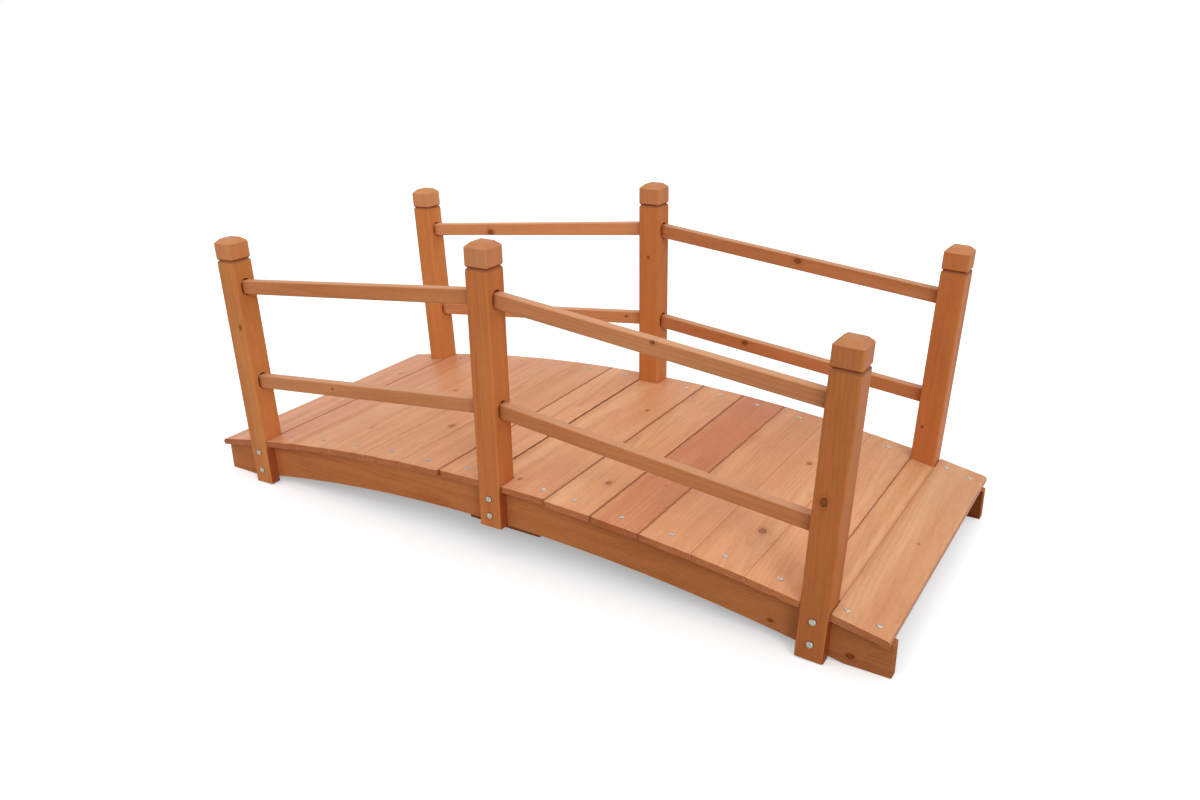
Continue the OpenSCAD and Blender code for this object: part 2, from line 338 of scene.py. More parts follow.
class WoodGraph(Graph):
    """Nodes of one timber, from attributes that each piece's mesh holds.

    grain is (along, across, deep) in metres, seed moves the noise, pith is (across, deep, drift) of the
    heart, tint is (tone, redness, ring width), finish is (eased edge, end grain, groove darkened by stain
    and painted shade) and weather is (bleached from above and painted paler as sheen, stain and painted
    shade in joints and recesses and on stringers' inner sides, painted shade under the deck). span is
    (start, end, fade): the length that is out of the mortises, and how the tone changes along a metre as
    painted light and shade. sap is (across, half width, strength) of a pale streak, rim is (half width,
    left, right) of the stain along a board's joints and of the painted shade along the end boards' outer
    edges, and each knot is (along, across, radius).
    """

    def __init__(self, owner, wood):
        super().__init__(owner)
        self.wood = wood
        grain = self.attribute("grain")
        self.along, self.across, self.deep = self.split(grain)
        self.moved = self.vector("ADD", grain, self.attribute("seed"))
        self.tone, self.redness, self.ring = self.split(self.attribute("tint"))
        self.eased, self.end_grain, self.groove_stain_and_shade = self.split(self.attribute("edges_ends_grooves"))
        self.bleached, self.in_joint, self.shaded_under_deck = self.split(self.attribute("sheen_stain_shade"))
        self.span_start, self.span_end, self.painted_shade_slope = self.split(self.attribute("span"))
        self.bent, self.to_knot = self.round_knots()
        self.knot_core = self.steps(self.to_knot, *KNOT_MARKS)
        self.late = self.late_wood()
        self.streak = self.pattern(STREAK, 3.0, 0.55)
        self.fibre = self.pattern(FIBRE, 2.0, 0.6)
        self.fleck = self.steps(self.pattern(FLECK, 1.0), *FLECK_MARKS)

    def pattern(self, stretch, detail=2.0, rough=0.5, colour=False):
        """Noise in the grain, moved by the piece's own seed."""
        return self.noise(self.moved, stretch, detail, rough, colour)

    def round_knots(self):
        """Grain that flows round the piece's knots, and the way to the nearest one in its radii."""
        bent = self.across
        nearest = None
        for knot in KNOTS:
            at_along, at_across, radius = self.split(self.attribute(knot))
            d_along = self.minus(self.along, at_along)
            d_across = self.minus(self.across, at_across)
            square = self.times(radius, radius)
            reach = self.squares(d_across, d_along, FLOW_ALONG)
            spread = self.times_plus(square, FLOW_CORE, reach)
            flow = self.math("DIVIDE", self.times(square, FLOW_PUSH), spread)
            bent = self.minus(bent, self.times(d_across, flow))
            away = self.math("SQRT", self.squares(d_across, d_along, KNOT_OVAL))
            away = self.math("DIVIDE", away, radius)
            nearest = away if nearest is None else self.math("MINIMUM", nearest, away)
        return bent, self.sway(nearest, self.pattern(RAGGED), KNOT_RAGGED)

    def late_wood(self):
        """Late wood of the growth rings about the heart of the log."""
        pith_across, pith_deep, drift = self.split(self.attribute("pith"))
        wander = self.split(self.pattern(WANDER, colour=True))
        from_across = self.minus(self.bent, pith_across)
        from_deep = self.minus(self.deep, pith_deep)
        from_deep = self.minus(from_deep, self.times(self.along, drift))
        from_across = self.sway(from_across, wander[0], WANDER_ACROSS)
        from_deep = self.sway(from_deep, wander[1], WANDER_DEEP)
        radius = self.vector("LENGTH", self.join(from_across, from_deep, 0.0))
        rings = self.math("DIVIDE", radius, self.ring)
        phase = self.times_plus(self.pattern(UNEVEN, 1.0), UNEVEN_RINGS, rings)
        stops = [(place, (height,) * 3) for place, height in RING_STOPS]
        late = self.ramp(self.math("FRACT", phase), stops)
        depth = self.steps(self.pattern(LATE_DEPTH), *LATE_MARKS)
        return self.times(late, depth)

    def sap_share(self):
        """Share of pale sapwood, in wisps anywhere and in the piece's own streak."""
        across, half_width, strength = self.split(self.attribute("sap"))
        wisps = self.pattern(SAPWOOD)
        off = self.math("ABSOLUTE", self.minus(self.bent, across))
        off = self.sway(self.math("DIVIDE", off, half_width), wisps, STREAK_WANDER)
        streak = self.times(self.steps(off, *STREAK_MARKS), strength)
        return self.math("MAXIMUM", self.steps(wisps, *WISP_MARKS), streak)

    def timber(self):
        """Colour of the stained timber: rings, streaks, fibres, uneven stain, sapwood, and painted light
        and shade along the piece.
        """
        wood = self.wood
        mottle = self.pattern(MOTTLE, 3.0, 0.65)
        blotch = self.pattern(BLOTCH, 2.0, 0.6)
        shade = self.sway(PLAIN_SHADE, self.late, wood.rings, LATE_MEAN)
        shade = self.sway(shade, self.streak, wood.streaks)
        shade = self.sway(shade, self.fibre, FIBRE_SHADE)
        shade = self.times_plus(self.fleck, FLECK_SHADE, shade)
        shade = self.sway(shade, mottle, wood.mottle)
        shade = self.sway(shade, blotch, BLOTCH_SHADE, clamp=True)
        colour = self.ramp(shade, [(0.0, wood.pale), (1.0, wood.dark)])
        colour = self.multiply_in(colour, self.sap_share(), wood.sapwood)
        # Painted light and shade along the piece: the tone changes along it, and the darker part is
        # redder
        painted_shade_here = self.times(self.painted_shade_slope, self.along)
        red_change = self.times_plus(painted_shade_here, RED_BY_PAINTED_SHADE, 1.0)
        colour = self.multiply_in(colour, self.times(self.redness, red_change, clamp=True), RED_DYE)
        tone = self.times(self.tone, self.math("ADD", painted_shade_here, 1.0))
        return self.mix(1.0, colour, self.join(tone, tone, tone), "MULTIPLY")

    def marked_and_shaded(self, colour):
        """Adds knots, end grain, tops bleached and painted paler as sheen, worn edges, stain and painted
        shade in grooves, and painted shade under the deck.
        """
        wood = self.wood
        halo = self.steps(self.to_knot, *HALO_MARKS)
        colour = self.multiply_in(colour, self.times(halo, HALO_SHARE), HALO_DYE)
        core = self.times(self.knot_core, wood.knots)
        colour = self.mix(core, colour, self.ramp(self.to_knot, KNOT_STOPS))
        late = self.times_plus(self.fleck, CUT_FLECK, self.late)
        colour = self.multiply_in(colour, self.end_grain, self.mix(late, wood.cut_early, wood.cut_late))
        # Tops and post caps painted paler: bleaching and painted sheen
        colour = self.mix(self.times(self.bleached, wood.bleach), colour, BLEACHED_AND_SHEEN)
        wear = self.steps(self.pattern(WEAR, 3.0), *WEAR_MARKS)
        worn = tuple(WORN_GAIN * x for x in wood.pale)
        colour = self.mix(self.times(self.eased, wear), colour, worn)
        # Stain and painted shade in the groove under a post's cap
        colour = self.multiply_in(colour, self.times(self.groove_stain_and_shade, GROOVE_SHARE), GROOVE_STAIN_AND_SHADE)
        # Painted shade on the sides of posts below the deck, with a little stain
        below = self.steps(self.along, 0.0, -UNDER_DECK_SHADE_REACH)
        return self.multiply_in(colour, self.times(self.shaded_under_deck, below), UNDER_DECK_SHADE)

    def joint_stained_and_shaded(self, colour):
        """Adds stain beside a board's joints and painted shade beside the end boards' outer edges, stain
        and painted shade at the mouths of mortises, and painted shade with stain on faces in joints and
        mortises and on stringers' inner sides.
        """
        half, left, right = self.split(self.attribute("rim"))
        from_edge = self.minus(half, self.math("ABSOLUTE", self.across))
        on_right = self.math("GREATER_THAN", self.across, 0.0)
        rim_darkening = self.times_plus(on_right, self.minus(right, left), left)
        reach = self.steps(self.pattern(RIM_NOISE, 3.0, 0.6), *RIM_REACH_MARKS, RIM_LEAST, RIM_MOST)
        rim_darkening = self.times(self.steps(from_edge, reach, RIM_FULL), rim_darkening)
        # Stain beside the boards' joints, and painted shade beside the end boards' outer edges
        colour = self.multiply_in(colour, rim_darkening, RIM_STAIN_AND_SHADE)
        from_start = self.minus(self.along, self.span_start)
        to_end = self.minus(self.span_end, self.along)
        to_mortise = self.math("MINIMUM", from_start, to_end)
        # Stain and painted shade on the rails at the mouths of the mortises
        mouth = self.times(self.steps(to_mortise, MOUTH_REACH, 0.0), MOUTH_SHARE)
        colour = self.multiply_in(colour, mouth, MOUTH_STAIN_AND_SHADE)
        # Painted shade with some stain on the rail's ends in the mortises, and on faces in joints and
        # recesses
        housed_shade = self.steps(to_mortise, HOUSED_EDGE, -HOUSED_EDGE)
        return self.multiply_in(colour, self.math("MAXIMUM", housed_shade, self.in_joint), JOINT_SHADE_AND_STAIN)

    def roughness(self):
        rough = self.sway(self.wood.rough, self.streak, STREAK_ROUGH)
        rough = self.times_plus(self.late, LATE_ROUGH, rough)
        rough = self.times_plus(self.end_grain, END_ROUGH, rough)
        return self.times_plus(self.knot_core, KNOT_ROUGH, rough, clamp=True)

    def relief(self):
        """Normals of raised late wood and fibres, with sunken flecks."""
        height = self.times(self.fibre, FIBRE_RELIEF)
        height = self.times_plus(self.late, LATE_RELIEF, height)
        height = self.times_plus(self.fleck, FLECK_RELIEF, height)
        return self.bump(height, RELIEF_STRENGTH, RELIEF_DEPTH)


def wood_material(name, wood):
    """Stained softwood cut through growth rings."""
    material = bpy.data.materials.new(name)
    g = WoodGraph(material, wood)
    g.surface({
        "Base Color": g.joint_stained_and_shaded(g.marked_and_shaded(g.timber())),
        "Roughness": g.roughness(),
        "Normal": g.relief(),
        "IOR": WOOD_IOR,
        "Specular IOR Level": wood.gloss,
    })
    return material


# Zinc: cycles per metre of its patterns, the colour of dirt and painted shade, and what each adds to the
# roughness
ZINC_BLOTCH = (420, 420, 420)
ZINC_SCRATCH = (3000, 900, 1500)
DIRT_AND_SHADE_COLOUR = (0.07, 0.05, 0.035)
ZINC_ROUGH, BLOTCH_ROUGH, SCRATCH_ROUGH, DIRT_AND_SHADE_ROUGH = 0.14, 0.2, 0.1, 0.3
ZINC_STOPS = (0.3, 0.7)
ZINC_RELIEF, ZINC_DEPTH = 0.2, 0.2 * MM


def zinc_material(name, dull, bright, dirt_and_shade):
    """Zinc-plated steel with faint blotches, and dirt with painted shade where the mesh's attribute for
    them says so.
    """
    material = bpy.data.materials.new(name)
    g = Graph(material)
    place = g.node("ShaderNodeTexCoord").outputs["Object"]
    blotch = g.noise(place, ZINC_BLOTCH, 3.0, 0.6)
    scratch = g.noise(place, ZINC_SCRATCH)
    dirt_and_shade_share = g.times(g.split(g.attribute("dirt_and_shade"))[0], dirt_and_shade)
    rough = g.times_plus(blotch, BLOTCH_ROUGH, ZINC_ROUGH)
    rough = g.times_plus(scratch, SCRATCH_ROUGH, rough)
    g.surface({
        "Base Color": g.mix(dirt_and_shade_share, g.ramp(blotch, list(zip(ZINC_STOPS, (dull, bright)))), DIRT_AND_SHADE_COLOUR),
        "Metallic": 1.0,
        "Roughness": g.times_plus(dirt_and_shade_share, DIRT_AND_SHADE_ROUGH, rough),
        "Normal": g.bump(blotch, ZINC_RELIEF, ZINC_DEPTH),
    })
    return material


WOODS = {
    "post_wood": Wood(
        pale=(0.65, 0.215, 0.064), dark=(0.41, 0.113, 0.026), rough=0.52, gloss=0.08, bleach=0.24
    ),
    "rail_wood": Wood(
        pale=(0.6, 0.232, 0.087), dark=(0.395, 0.127, 0.037), rough=0.5, gloss=0.12, bleach=0.27,
        sapwood=(1.08, 1.22, 1.45),
    ),
    "stringer_wood": Wood(
        pale=(0.57, 0.2, 0.066), dark=(0.352, 0.101, 0.0265), rough=0.54, gloss=0.08,
        rings=0.36, streaks=1.1, mottle=0.65, knots=1.0,
    ),
    "deck_wood": Wood(
        pale=(0.78, 0.382, 0.186), dark=(0.56, 0.23, 0.1), rough=0.46, gloss=0.28,
        rings=0.38, streaks=1.1, mottle=0.6, knots=0.66,
        cut_early=(0.66, 0.46, 0.34), cut_late=(0.52, 0.335, 0.235),
    ),
}
MATERIALS = {name: wood_material(name, wood) for name, wood in WOODS.items()}
MATERIALS["bolt_zinc"] = zinc_material("bolt_zinc", (0.26, 0.25, 0.2), (0.48, 0.47, 0.4), 1.0)
MATERIALS["screw_zinc"] = zinc_material("screw_zinc", (0.58, 0.55, 0.52), (0.78, 0.75, 0.72), 0.8)


# Wooden pieces, each in place of its CAD node
WELD = 0.01 * MM
FLAT_ANGLE = 0.002
EASED_ANGLE = math.radians(30)
EASED_STEPS = 4
SHARP_ANGLE = math.radians(35)
NORMAL_WEIGHT = 60
SEED_REACH = 40
# Room for a face or an edge that is told by its place
SLACK = 1 * MM
# Parts of a face's normal by which rounded edges, sides, ends and tops are told
ROUND_NORMAL, SIDE_NORMAL = 0.2, 0.8
END_NORMAL, TOP_NORMAL = (0.55, 0.95), (0.35, 0.95)
# Values of a knot, a span, a pale streak and a rim that don't show
AWAY = 99.0
NO_KNOT = (AWAY, AWAY, 1 * MM)
NO_SPAN = (-AWAY, AWAY, 0.0)
NO_SAP = (AWAY, 10 * MM, 0.0)
NO_RIM = (AWAY, 0.0, 0.0)
# Half width of a pale streak that covers its piece
ALL_OVER = 9.0


def finish_piece(piece, material):
    piece.data.materials.append(MATERIALS[material])
    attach(piece, "root")


def placed(name, bm):
    """Object of a finished mesh."""
    mesh = bpy.data.meshes.new(name)
    bm.to_mesh(mesh)
    bm.free()
    made = bpy.data.objects.new(name, mesh)
    scene.collection.objects.link(made)
    return made


def fill(mesh, name, domain, rows):
    """Writes a vector attribute of a mesh."""
    layer = mesh.attributes.new(name, "FLOAT_VECTOR", domain)
    layer.data.foreach_set("vector", [x for row in rows for x in row])


def smooth(value, low, high):
    """Soft step from 0 at low to 1 at high."""
    t = min(max((value - low) / (high - low), 0.0), 1.0)
    return t * t * (3 - 2 * t)


def at_end(a, b):
    """Whether an edge runs across a board's end."""
    return min(abs(a.x), abs(b.x)) > DECK_W / 2 - SLACK and abs(a.z - b.z) < SLACK


def cad_copy(node, to_grain, shift, end_cuts):
    """Mesh of a CAD node without spare edges, with its points where shift puts them."""
    bm = bmesh.new()
    bm.from_mesh(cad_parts[node].data)
    bmesh.ops.remove_doubles(bm, verts=bm.verts, dist=WELD)
    bmesh.ops.dissolve_limit(bm, angle_limit=FLAT_ANGLE, verts=bm.verts, edges=bm.edges)
    if end_cuts:
        ends = [e for e in bm.edges if at_end(*(to_grain @ v.co for v in e.verts))]
        bmesh.ops.subdivide_edges(bm, edges=ends, cuts=end_cuts, use_grid_fill=True)
    if shift:
        for vert in bm.verts:
            vert.co = to_grain.inverted() @ shift(to_grain @ vert.co)
    return bm


def ease_edges(bm, to_grain, ease):
    """Rounds sharp outer edges and marks their faces. ease gives an edge's width, or 0 to leave it."""
    eased = bm.faces.layers.int.new("eased")
    widths = {}
    for edge in bm.edges:
        if edge.is_manifold and edge.is_convex and edge.calc_face_angle() > EASED_ANGLE:
            a, b = (to_grain @ v.co for v in edge.verts)
            widths.setdefault(ease(a, b), []).append(edge)
    for width in sorted((w for w in widths if w), reverse=True):
        made = bmesh.ops.bevel(
            bm,
            geom=[e for e in widths[width] if e.is_valid], affect="EDGES",
            offset=width, offset_type="OFFSET", segments=EASED_STEPS, profile=0.5,
            clamp_overlap=True, loop_slide=True,
        )
        for face in made["faces"]:
            face[eased] = 1
    bmesh.ops.recalc_face_normals(bm, faces=bm.faces)
    for edge in bm.edges:
        edge.smooth = not edge.is_manifold or edge.calc_face_angle() < SHARP_ANGLE
    return eased


def evenly(width):
    """Easing that is the same at every edge."""
    return lambda a, b: width


def nothing(centre):
    """Share of a face that has no stain, painted shade, bleaching or painted sheen of its own."""
    return 0.0


def wooden(
    node, slot, to_grain, ease, tint, pith, knots=(), grooved=None, stain_and_shade=nothing, bleach=nothing,
    shaded_under_deck=False, shift=None, end_cuts=0, span=NO_SPAN, sap=NO_SAP, rim=NO_RIM,
):
    """A copy of a CAD node with eased edges and its own grain.

    grooved says whether a face is in a groove, stain how dark a face is from stain and painted shade in
    joints and recesses and under the deck, bleach how much paler a face is, bleached and with painted
    sheen, besides those on top, and shift where a point goes, all in grain coordinates. A sheltered piece
    gets painted shade at its sides below the deck. The ends of a piece with end_cuts are cut up, for
    shift to make them uneven.
    """
    bm = cad_copy(node, to_grain, shift, end_cuts)
    eased = ease_edges(bm, to_grain, ease)
    turn = to_grain.to_3x3()
    edges_ends_grooves = []
    sheen_stain_shade = []
    for face in bm.faces:
        face.smooth = True
        normal = turn @ face.normal
        centre = to_grain @ face.calc_center_median()
        rounded = min(abs(normal.y), abs(normal.z)) > ROUND_NORMAL > abs(normal.x)
        on_edge = 1.0 if face[eased] or rounded else 0.0
        in_groove = 1.0 if grooved and grooved(centre, normal) else 0.0
        edges_ends_grooves.append((on_edge, smooth(abs(normal.x), *END_NORMAL), in_groove))
        # Top faces, and every face of a post's cap, are painted paler: bleaching and painted sheen
        pale = max(smooth(face.normal.z, *TOP_NORMAL), bleach(centre))
        # Sides of posts get painted shade below the deck, with a little stain
        on_side = 1.0 if shaded_under_deck and abs(normal.y) > SIDE_NORMAL else 0.0
        sheen_stain_shade.append((pale, stain_and_shade(centre), on_side))

    piece = placed(node + "_wood", bm)
    mesh = piece.data
    count = len(mesh.vertices)
    fill(mesh, "grain", "POINT", [tuple(to_grain @ v.co) for v in mesh.vertices])
    fill(mesh, "edges_ends_grooves", "FACE", edges_ends_grooves)
    fill(mesh, "sheen_stain_shade", "FACE", sheen_stain_shade)
    seed = tuple(rng.uniform(-SEED_REACH, SEED_REACH) for axis in range(3))
    whole = {"seed": seed, "pith": pith, "tint": tint, "span": span, "sap": sap, "rim": rim}
    for i, name in enumerate(KNOTS):
        whole[name] = knots[i] if i < len(knots) else NO_KNOT
    for name, row in whole.items():
        fill(mesh, name, "POINT", [row] * count)

    normals = piece.modifiers.new("normals", "WEIGHTED_NORMAL")
    normals.keep_sharp = True
    normals.weight = NORMAL_WEIGHT
    finish_piece(piece, slot)
    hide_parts(node)


def axes(along, across, deep, origin):
    """Matrix from the part's frame to grain coordinates with these axes and this origin."""
    rows = Matrix((along, across, deep)).to_4x4()
    return rows @ Matrix.Translation(-Vector(origin))


def heart(across, deep, drift):
    """Heart of the log off to a random side of the piece."""
    return (
        rng.uniform(-across, across),
        rng.choice((-1, 1)) * rng.uniform(0.5 * deep, deep),
        rng.uniform(-drift, drift),
    )


# Posts
POST_CORNER_EASE = 3.4 * MM
CAP_EASE = 1.9 * MM
POST_EDGE_EASE = 0.9 * MM
MORTISE_REACH = 30 * MM
MORTISE_HALF = 0.7 * RAIL_T
CAP_LOW = POST_TOP - CAP_BEVEL_H - CAP_H
GROOVE_NORMAL = (0.3, 0.95)
# Tone, redness and yellowness of each post, and how much its cap is bleached and painted paler as sheen
POST_TINTS = {
    "near_left": (1.0, 0.0, 1.0, 0.3),
    "near_middle": (1.02, 0.0, 0.1, 0.65),
    "near_right": (0.87, 0.0, 0.0, 0.1),
    "far_left": (1.1, 0.0, 1.0, 0.75),
    "far_middle": (1.0, 0.0, 0.4, 0.45),
    "far_right": (0.95, 0.06, 0.15, 0.1),
}
POST_KNOTS = {
    "near_left": [(0.244, 0.012, 0.0034)],
    "near_right": [(0.177, -0.006, 0.0052)],
    "far_middle": [(0.267, 0.0, 0.0024)],
    "far_right": [(0.077, -0.01, 0.002)],
}


def post_ease(a, b):
    """Well rounded corners and caps, sharp mortises and eased edges elsewhere."""
    face = POST_W / 2 - SLACK
    upright = abs(a.x - b.x) > 0.9 * (a - b).length
    if upright and min(abs(a.y), abs(b.y), abs(a.z), abs(b.z)) > face:
        return POST_CORNER_EASE
    if min(a.x, b.x) > POST_TOP - CAP_BEVEL_H - SLACK / 2:
        return CAP_EASE
    if min(abs(a.y), abs(b.y)) > face and max(abs(a.z), abs(b.z)) < MORTISE_HALF:
        return 0.0
    return POST_EDGE_EASE


def post_groove(centre, normal):
    """Whether a face is in the groove under the cap."""
    at_groove = -SLACK / 2 < CAP_LOW - centre.x < GROOVE_H + SLACK / 2
    return at_groove and GROOVE_NORMAL[0] < abs(normal.x) < GROOVE_NORMAL[1]


def mortise_wall_shade(centre):
    """How dark a face of a post is: the walls of its mortises are, with painted shade and stain."""
    deep = max(abs(centre.y), abs(centre.z)) < POST_W / 2 - SLACK
    return 1.0 if deep and MORTISE_REACH < centre.x < UPPER_RAIL_Z + MORTISE_REACH else 0.0


def cap_bleach_and_sheen(share):
    """How much a face of a post is bleached and painted paler as sheen, from the height of its middle."""
    return lambda centre: share if centre.x > CAP_LOW else 0.0


for side_name, side in SIDES.items():
    for station, k in STATIONS.items():
        name = f"{side_name}_{station}"
        at = post_frame(k).to_3x3()
        origin = post_frame(k).translation + Vector((0, side * RAIL_Y, 0))
        tone, redness, yellow, cap = POST_TINTS[name]
        wooden(
            name + "_post", "post_wood", axes(at.col[2], at.col[0], at.col[1], origin), post_ease,
            tint=(tone, redness, rng.uniform(4.0, 6.0) * MM),
            pith=heart(across=0.05, deep=0.07, drift=0.03),
            knots=POST_KNOTS.get(name, ()), sap=(0.0, ALL_OVER, yellow),
            grooved=post_groove, stain_and_shade=mortise_wall_shade, bleach=cap_bleach_and_sheen(cap), shaded_under_deck=True,
        )

# Rails, whose edges are round in the CAD part already: the tone, redness and yellowness of each, and
# how its tone changes along a metre of it, as painted light and shade
RAIL_TINTS = {
    "near_left_upper": (1.1, 0.05, 0.0, 0.0),
    "near_left_lower": (1.05, 0.05, 0.5, 0.0),
    "near_right_upper": (1.13, 0.06, 0.7, -0.22),
    "near_right_lower": (1.04, 0.05, 0.1, 0.0),
    "far_left_upper": (1.25, 0.0, 1.0, 0.0),
    "far_left_lower": (1.16, 0.0, 1.0, 0.0),
    "far_right_upper": (1.0, 0.1, 0.3, 0.0),
    "far_right_lower": (1.01, 0.15, 0.0, 0.0),
}
RAIL_KNOTS = {
    "far_left_upper": [(0.164, -0.006, 0.0062)],
    "far_left_lower": [(0.508, 0.003, 0.0026)],
    "near_right_upper": [(0.286, 0.0095, 0.0032)],
    "far_right_lower": [(0.19, 0.005, 0.0045)],
    "far_right_upper": [(0.29, 0.005, 0.005)],
    "near_left_lower": [(0.202, 0.002, 0.002)],
}

for side_name, side in SIDES.items():
    for bay, k in BAYS.items():
        for level, height in (("upper", UPPER_RAIL_Z), ("lower", LOWER_RAIL_Z)):
            up = height + DECK_T / 2
            middle = Vector((k * POST_W / 2, side * RAIL_Y, MID_CROSS_Z + up))
            end = post_frame(k) @ Vector((-k * POST_W / 2, side * RAIL_Y, up))
            along = (end - middle).normalized() * k
            across = Vector((-along.z, 0, along.x))
            name = f"{side_name}_{bay}_{level}"
            tone, redness, yellow, painted_shade_slope = RAIL_TINTS[name]
            wooden(
                name + "_rail", "rail_wood",
                axes(along, across, (0, -1, 0), middle if k > 0 else end), evenly(0.0),
                tint=(tone, redness, rng.uniform(3.5, 5.5) * MM),
                pith=heart(across=0.04, deep=0.05, drift=0.02),
                knots=RAIL_KNOTS.get(name, ()), sap=(0.0, ALL_OVER, yellow),
                span=(0.0, (end - middle).length, painted_shade_slope),
            )

# Stringers: the tone, redness and yellowness of each half, and how its tone changes along a metre of
# it, as painted light and shade
STRINGER_TINTS = {
    "near_left": (1.15, 0.0, 0.0, 0.1),
    "near_right": (1.1, 0.03, 0.4, -0.3),
    "far_left": (1.05, 0.1, 0.0, 0.0),
    "far_right": (1.0, 0.1, 0.0, 0.0),
}
STRINGER_KNOTS = {
    "near_right": [(0.6326, 0.0168, 0.0044), (0.5086, 0.0352, 0.003)],
    "far_left": [(0.3, 0.06, 0.005)],
}
PLANK_EASE = 1.3 * MM
# Painted shade and a deeper stain on the stringers' inner sides under the deck
INNER_STAIN_AND_SHADE = 0.85
# Dark tone of the splice plates: painted shade, for the shade they hang in below the stringers
SPLICE_SHADE_TINT = (0.55, 0.2, 5 * MM)


def inner_side_shade(centre):
    """How dark a face of a stringer is: its inner side is, under the deck, with painted shade and a
    deeper stain.
    """
    return INNER_STAIN_AND_SHADE if abs(centre.z) > STRINGER_T - SLACK / 2 else 0.0


for side_name, side in SIDES.items():
    for half in BAYS:
        name = f"{side_name}_{half}"
        tone, redness, yellow, painted_shade_slope = STRINGER_TINTS[name]
        wooden(
            name + "_stringer", "stringer_wood",
            axes((1, 0, 0), (0, 0, 1), (0, -1, 0), (0, side * STRINGER_Y, 0)), evenly(PLANK_EASE),
            tint=(tone, redness, rng.uniform(4.5, 6.5) * MM),
            pith=heart(across=0.09, deep=0.06, drift=0.02),
            knots=STRINGER_KNOTS.get(name, ()), sap=(0.0, ALL_OVER, yellow),
            stain_and_shade=inner_side_shade, span=(*NO_SPAN[:2], painted_shade_slope),
        )
    wooden(
        f"{side_name}_splice_plate", "stringer_wood",
        axes((1, 0, 0), (0, 0, 1), (0, -1, 0), (0, side * STRINGER_Y, CREST_Z)), evenly(PLANK_EASE),
        tint=SPLICE_SHADE_TINT, pith=heart(across=0.09, deep=0.06, drift=0.02),
    )

# Deck boards from left to right, each between two stations along the arch
BOARDS = [("left_end_board", -DECK_END_S, -POST_IN_S)]
for i in range(BAY_BOARDS):
    start = -POST_IN_S + i * BOARD_PITCH
    BOARDS.append((f"deck_board_{i + 1}", start, start + BOARD_PITCH))
BOARDS.append(("crown_board", -POST_W / 2, POST_W / 2 + BOARD_PITCH))
for i in range(1, BAY_BOARDS):
    start = POST_W / 2 + i * BOARD_PITCH
    BOARDS.append((f"deck_board_{i + BAY_BOARDS}", start, start + BOARD_PITCH))
BOARDS += [("infill_board", POST_IN_S, POST_OUT_S), ("right_end_board", POST_OUT_S, DECK_END_S)]
# Each board's tone and redness, and how its tone changes along a metre of it, as painted light and shade
BOARD_TINTS = {
    "left_end_board": (1.01, 0.38, 0.0),
    "deck_board_1": (0.99, 0.45, 0.0),
    "deck_board_2": (1.02, 0.05, -0.1),
    "deck_board_3": (1.03, 0.1, 0.0),
    "deck_board_4": (1.0, 0.1, 0.0),
    "deck_board_5": (1.0, 0.1, 0.0),
    "deck_board_6": (1.05, 0.05, 0.0),
    "crown_board": (1.03, 0.12, -0.05),
    "deck_board_7": (1.02, 0.02, -0.1),
    "deck_board_8": (0.9, 0.85, -0.3),
    "deck_board_9": (0.98, 0.1, -0.3),
    "deck_board_10": (1.0, 0.0, -0.3),
    "deck_board_11": (1.03, 0.0, -0.3),
    "infill_board": (0.96, 0.05, -0.1),
    "right_end_board": (0.94, 0.02, -0.2),
}
BOARD_KNOTS = {
    "deck_board_7": [(-0.186, 0.012, 0.0048)],
    "deck_board_8": [(-0.138, 0.0065, 0.0016)],
    "deck_board_10": [(-0.166, 0.017, 0.006), (0.1, -0.006, 0.0045)],
    "deck_board_4": [(-0.1236, 0.0236, 0.0052)],
    "crown_board": [(-0.257, -0.011, 0.0035), (0.12, 0.03, 0.003)],
    "deck_board_3": [(-0.185, -0.0405, 0.0034), (0.05, -0.02, 0.0035)],
    "left_end_board": [(0.14, 0.03, 0.004), (-0.2, -0.04, 0.003)],
    "right_end_board": [(-0.0204, 0.0051, 0.0018)],
}
# Pale streaks: how far off the board's middle, half width and strength
BOARD_SAP = {
    "crown_board": (-0.041, 0.012, 0.9),
    "deck_board_7": (-0.024, 0.009, 0.7),
    "infill_board": (0.014, 0.006, 0.7),
    "right_end_board": (-0.024, 0.014, 0.7),
    "deck_board_6": (-0.02, 0.01, 0.5),
    "deck_board_10": (0.028, 0.009, 0.5),
}


class Joint(NamedTuple):
    """Joint of two boards: how much each closes it, its edges' rounding, stain with painted shade in it,
    and stain beside it.
    """

    close_mm: float
    ease_mm: float
    stain_and_shade: float
    rim: float


# Joints from left to right
JOINT_ROWS = (
    (0.2, 1.2, 0.4, 0.35),
    (0.3, 0.7, 0.0, 0.05),
    (0.4, 0.5, 0.0, 0.05),
    (0.3, 0.5, 0.0, 0.1),
    (0.3, 0.7, 0.0, 0.1),
    (0.45, 1.6, 0.3, 0.8),
    (0.35, 2.1, 1.0, 1.0),
    (0.5, 1.4, 0.5, 0.55),
    (0.5, 1.5, 0.6, 0.65),
    (0.5, 1.2, 0.2, 0.55),
    (0.6, 0.6, 0.0, 0.05),
    (0.6, 0.4, 0.0, 0.0),
    (0.85, 1.0, 0.0, 0.4),
    (1.0, 0.5, 0.0, 0.15),
)
JOINTS = [Joint(*row) for row in JOINT_ROWS]
# The end boards' outer edges, whose stain in and beside the edge is painted shade on the rounding
OUTER_EDGE = Joint(0.0, 6.5, 0.5, 0.3)
# Bands along a board's edges that count as its joint, and length of an edge that runs along it
EDGE_BAND = 2 * MM
STAIN_AND_SHADE_BAND = 1.9 * MM
LONG_EDGE = 200 * MM
# How far the near end of a board stands back from the others, in millimetres
NEAR_BACK = {"left_end_board": 3.0, "deck_board_6": 3.5, "crown_board": 4.0, "right_end_board": 2.5}
